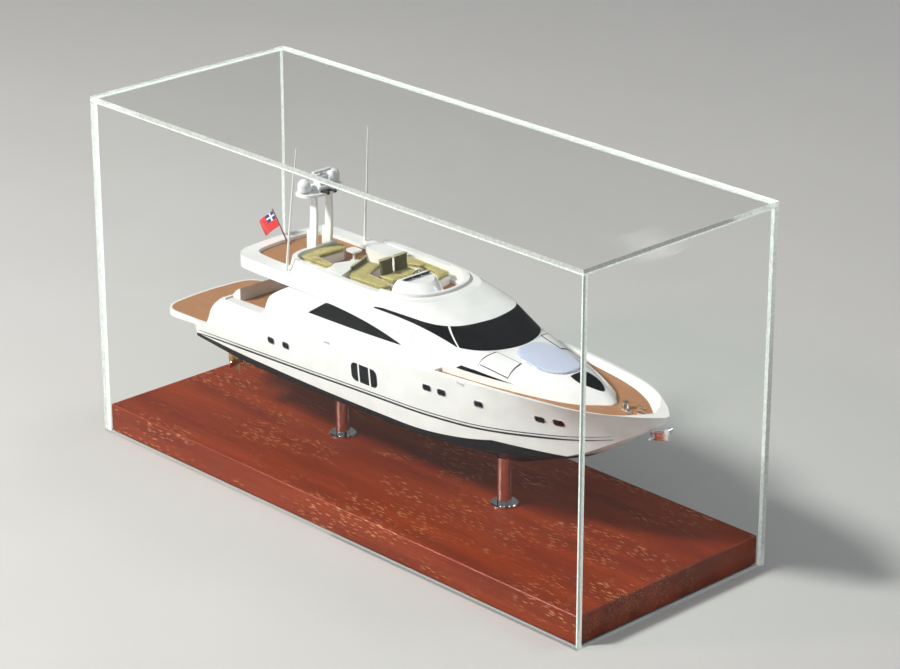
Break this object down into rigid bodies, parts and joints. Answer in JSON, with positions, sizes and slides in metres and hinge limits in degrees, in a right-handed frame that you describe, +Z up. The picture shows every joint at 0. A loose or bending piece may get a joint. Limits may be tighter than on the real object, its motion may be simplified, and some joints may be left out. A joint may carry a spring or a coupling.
{
  "type": "display case",
  "caption": "Clear acrylic lift-off cover over a mahogany board, with a white model motor yacht bolted on chrome pedestals.",
  "frame": {"origin": "centre of the case's footprint, on the table", "axes": "+X along the case towards the yacht's bow, +Y towards the yacht's port side, +Z up"},
  "size_m": [0.6, 0.224, 0.32],
  "materials": {
    "clear_acrylic": "clear cast acrylic, polished faces and edges",
    "mahogany_veneer": "mahogany veneer under satin lacquer, short pale pores along the grain",
    "foot_pad": "thin dark pads",
    "chrome": "polished chrome plate",
    "steel": "zinc-plated steel fasteners",
    "brass": "turned brass",
    "bronze": "polished bronze",
    "gelcoat": "gloss white paint; the hull is black below the waterline",
    "tinted_glazing": "gloss black glazing",
    "vinyl_stripe": "thin black stripe tape",
    "port_rim": "bright rims",
    "teak": "printed or laid teak, narrow planks with dark seams",
    "olive_upholstery": "olive upholstery with lighter piping",
    "dark_olive": "darker olive backrest",
    "sunpad_fabric": "pale blue fabric with a fine grid",
    "instrument_black": "black screens",
    "radome": "satin off-white",
    "whip_white": "white whips",
    "staff_brown": "varnished dark red staff",
    "flag_cloth": "red flag with a blue canton"
  },
  "bodies": {
    "display": {"base_board": "mahogany_veneer", "base_feet": "foot_pad", "pedestal_tube_aft": "chrome", "pedestal_tube_fore": "chrome", "pedestal_flanges": "chrome", "anchor": "chrome", "windlass": "chrome", "deck_cleats": "chrome", "stand_studs": "steel", "stand_nuts": "steel", "stand_washers": "steel", "hull_inserts": "brass", "propellers": "bronze", "propeller_shafts": "bronze", "shaft_brackets": "bronze", "rudders": "bronze", "hull": "gelcoat", "superstructure": "gelcoat", "swim_platform": "gelcoat", "flybridge_deck": "gelcoat", "flybridge_coaming": "gelcoat", "flybridge_seat_bases": "gelcoat", "helm_console": "gelcoat", "wet_bar": "gelcoat", "flybridge_table": "gelcoat", "mast_legs": "gelcoat", "mast_wing": "gelcoat", "deck_hatches": "gelcoat", "porthole_glazing": "tinted_glazing", "hull_windows": "tinted_glazing", "windscreen": "tinted_glazing", "saloon_windows": "tinted_glazing", "coachroof_windows": "tinted_glazing", "coachroof_skylight": "tinted_glazing", "saloon_doors": "tinted_glazing", "hull_pinstripes": "vinyl_stripe", "porthole_rims": "port_rim", "foredeck_teak": "teak", "cockpit_teak": "teak", "flybridge_teak": "teak", "platform_teak": "teak", "aft_settee_cushions": "olive_upholstery", "forward_settee_cushions": "olive_upholstery", "lounge_pad": "olive_upholstery", "pilot_seats": "olive_upholstery", "settee_backrest": "dark_olive", "sunpad": "sunpad_fabric", "helm_instruments": "instrument_black", "helm_wheel": "instrument_black", "mast_fittings": "instrument_black", "satcom_domes": "radome", "radar_scanner": "radome", "whip_antennas": "whip_white", "flagstaff": "staff_brown", "ensign": "flag_cloth"},
    "cover": {"cover_top": "clear_acrylic", "cover_front": "clear_acrylic", "cover_back": "clear_acrylic", "cover_left": "clear_acrylic", "cover_right": "clear_acrylic"}
  },
  "joints": [
    {"name": "cover_lift", "type": "slide", "parent": "display", "child": "cover", "axis": [0, 0, 1], "range_m": [0, 0.32]}
  ]
}
